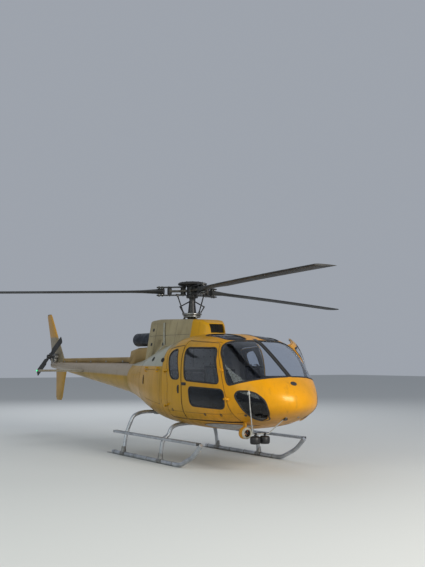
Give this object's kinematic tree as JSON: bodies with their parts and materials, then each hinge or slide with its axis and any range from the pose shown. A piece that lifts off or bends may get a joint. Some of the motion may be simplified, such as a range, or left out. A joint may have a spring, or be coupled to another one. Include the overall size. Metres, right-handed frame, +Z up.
{
  "type": "light utility helicopter",
  "caption": "Light single-engine helicopter parked on skids, with main and tail rotors that turn, opening cabin and baggage doors, and load mirrors under the nose.",
  "frame": {"origin": "middle of the bounding box of the whole helicopter, on the ground under the skids", "axes": "+Z up, nose towards -Y, tail towards +Y, port side towards +X"},
  "size_m": [9.2142, 12.7822, 3.343],
  "materials": {
    "yellow_paint": "gloss yellow-orange paint, worn and dusty low down",
    "beige_paint": "matt weathered beige-grey paint",
    "black_composite": "satin black",
    "silver_paint": "silver-grey paint, scuffed",
    "bare_steel": "bare metal",
    "burnt_steel": "heat-darkened metal",
    "tinted_glass": "clear, lightly tinted",
    "seat_fabric": "dark grey cloth",
    "dark_plastic": "dark matt"
  },
  "bodies": {
    "airframe": {"windscreen_starboard": "tinted_glass", "roof_window_starboard": "tinted_glass", "chin_window_starboard": "tinted_glass", "windscreen_port": "tinted_glass", "roof_window_port": "tinted_glass", "chin_window_port": "tinted_glass", "hull_and_nose": "yellow_paint", "cabin_roof": "yellow_paint", "rear_fuselage": "yellow_paint", "engine_cowl": "beige_paint", "intake_fairing": "yellow_paint", "engine_and_gearbox": "bare_steel", "exhaust_pipe": "burnt_steel", "tail_boom": "yellow_paint", "drive_shaft_cover": "yellow_paint", "stabiliser": "yellow_paint", "upper_fin": "yellow_paint", "lower_fin": "yellow_paint", "tail_gearbox": "bare_steel", "swashplate_fixed": "bare_steel", "cross_tube_front": "silver_paint", "cross_tube_rear": "silver_paint", "skid_starboard": "silver_paint", "step_starboard": "silver_paint", "skid_port": "silver_paint", "step_port": "silver_paint", "mirror_struts": "bare_steel", "load_mirrors": "dark_plastic", "landing_lamp": "yellow_paint", "seat_starboard": "seat_fabric", "seat_port": "seat_fabric", "rear_bench": "seat_fabric", "instrument_panel": "dark_plastic"},
    "main_rotor": {"rotor_mast": "black_composite", "swashplate_rotating": "bare_steel", "rotor_hub": "black_composite", "main_blade_1": "black_composite", "main_blade_2": "black_composite", "main_blade_3": "black_composite"},
    "tail_rotor": {"tail_rotor": "black_composite"},
    "front_door_starboard": {"front_door_starboard": "yellow_paint", "front_door_glass_starboard": "tinted_glass", "front_door_lower_glass_starboard": "tinted_glass"},
    "rear_door_starboard": {"rear_door_starboard": "yellow_paint", "rear_door_glass_starboard": "tinted_glass"},
    "baggage_door_starboard": {"baggage_door_starboard": "yellow_paint"},
    "front_door_port": {"front_door_port": "yellow_paint", "front_door_glass_port": "tinted_glass", "front_door_lower_glass_port": "tinted_glass"},
    "rear_door_port": {"rear_door_port": "yellow_paint", "rear_door_glass_port": "tinted_glass"},
    "baggage_door_port": {"baggage_door_port": "yellow_paint"}
  },
  "joints": [
    {"name": "main_rotor_spin", "type": "hinge", "parent": "airframe", "child": "main_rotor", "pos_m": [-0.53824, -1.13045, 3.2], "axis": [0, 0, 1], "continuous": true},
    {"name": "tail_rotor_spin", "type": "hinge", "parent": "airframe", "child": "tail_rotor", "pos_m": [-0.80024, 5.52655, 1.905], "axis": [1, 0, 0], "continuous": true},
    {"name": "front_door_starboard_hinge", "type": "hinge", "parent": "airframe", "child": "front_door_starboard", "pos_m": [-1.42824, -3.53845, 1.43], "axis": [0.04, 0.3199, 0.9466], "range_deg": [0, 73]},
    {"name": "front_door_port_hinge", "type": "hinge", "parent": "airframe", "child": "front_door_port", "pos_m": [0.35176, -3.53845, 1.43], "axis": [0.04, -0.3199, -0.9466], "range_deg": [-40, 33]},
    {"name": "rear_door_starboard_hinge", "type": "hinge", "parent": "airframe", "child": "rear_door_starboard", "pos_m": [-1.47324, -1.69645, 1.35], "axis": [0, -0.061, -0.9981], "range_deg": [0, 85]},
    {"name": "rear_door_port_hinge", "type": "hinge", "parent": "airframe", "child": "rear_door_port", "pos_m": [0.39676, -1.69645, 1.35], "axis": [0, 0.061, 0.9981], "range_deg": [0, 85]},
    {"name": "baggage_door_starboard_hinge", "type": "hinge", "parent": "airframe", "child": "baggage_door_starboard", "pos_m": [-1.46624, -1.47545, 1.656], "axis": [0.199, 0.98, 0], "range_deg": [0, 80]},
    {"name": "baggage_door_port_hinge", "type": "hinge", "parent": "airframe", "child": "baggage_door_port", "pos_m": [0.38976, -1.47545, 1.656], "axis": [0.199, -0.98, 0], "range_deg": [0, 80]}
  ],
  "couplings": [
    {"joint": "tail_rotor_spin", "follows": "main_rotor_spin", "ratio": 5.35}
  ]
}
